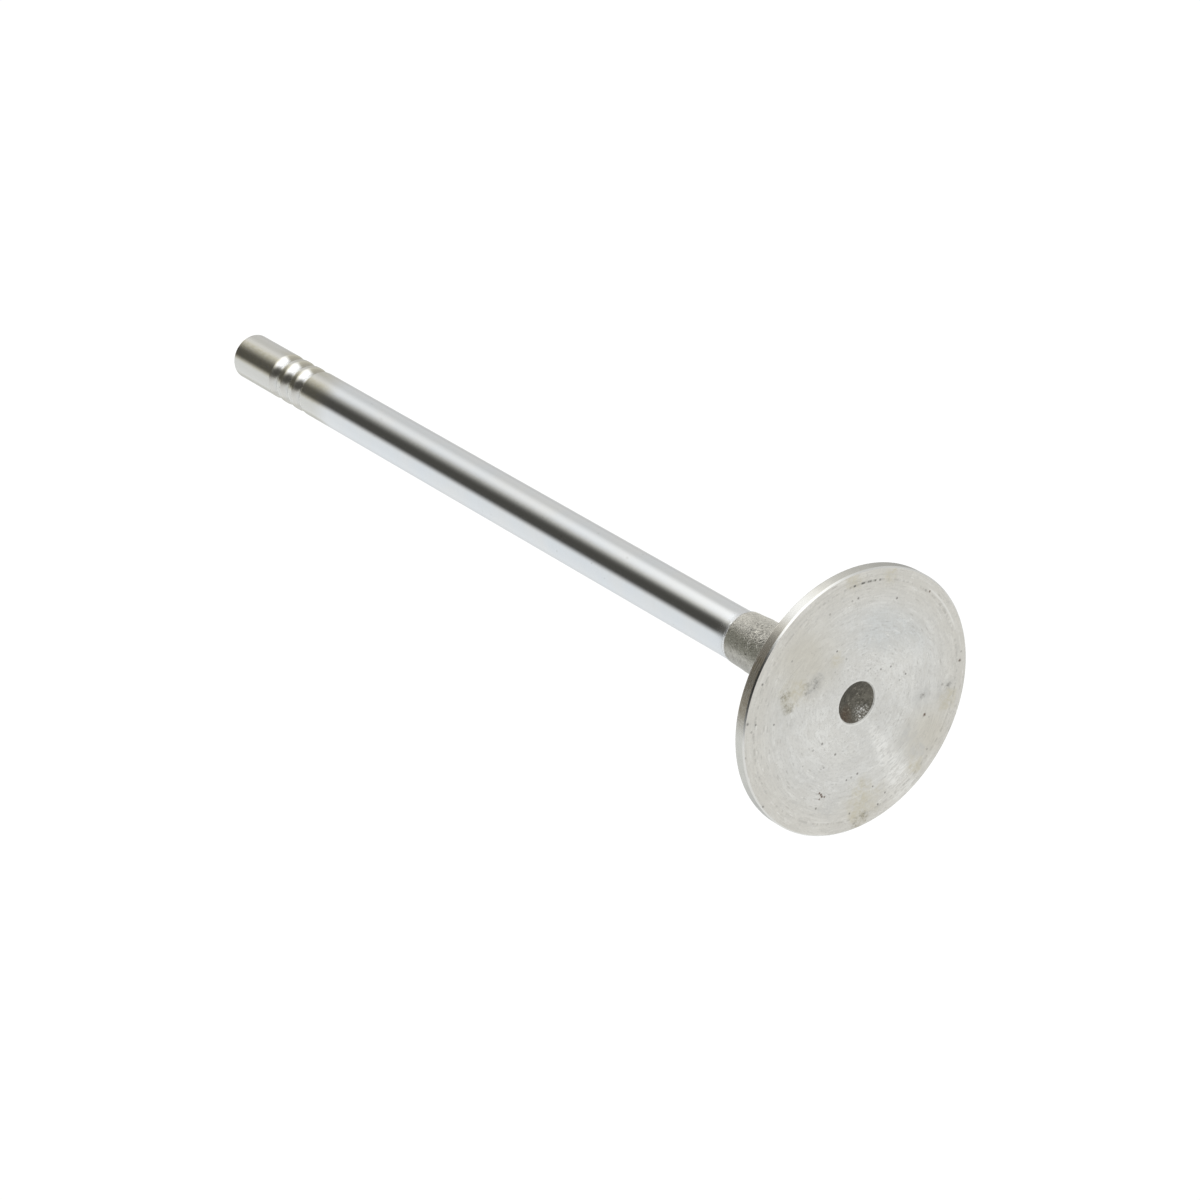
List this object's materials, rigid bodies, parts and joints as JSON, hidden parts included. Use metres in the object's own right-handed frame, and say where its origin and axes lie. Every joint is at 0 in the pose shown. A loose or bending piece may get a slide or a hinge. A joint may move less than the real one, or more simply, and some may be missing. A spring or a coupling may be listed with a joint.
{
  "type": "engine valve",
  "caption": "Poppet valve: flat round head with a shallow centre bowl, conical seat, forged tulip neck and a ground stem with round keeper grooves near its tip.",
  "frame": {"origin": "centre of the flat combustion face, which lies on Z = 0", "axes": "+Z along the stem, from the combustion face to the tip; X and Y are free, because the valve is round"},
  "size_m": [0.0474, 0.0474, 0.185],
  "materials": {
    "valve_steel": "ground and bright-plated stem, as-forged grey-brown neck, turned pale grey combustion face with light stains"
  },
  "bodies": {
    "root": {"valve": "valve_steel"}
  },
  "joints": []
}
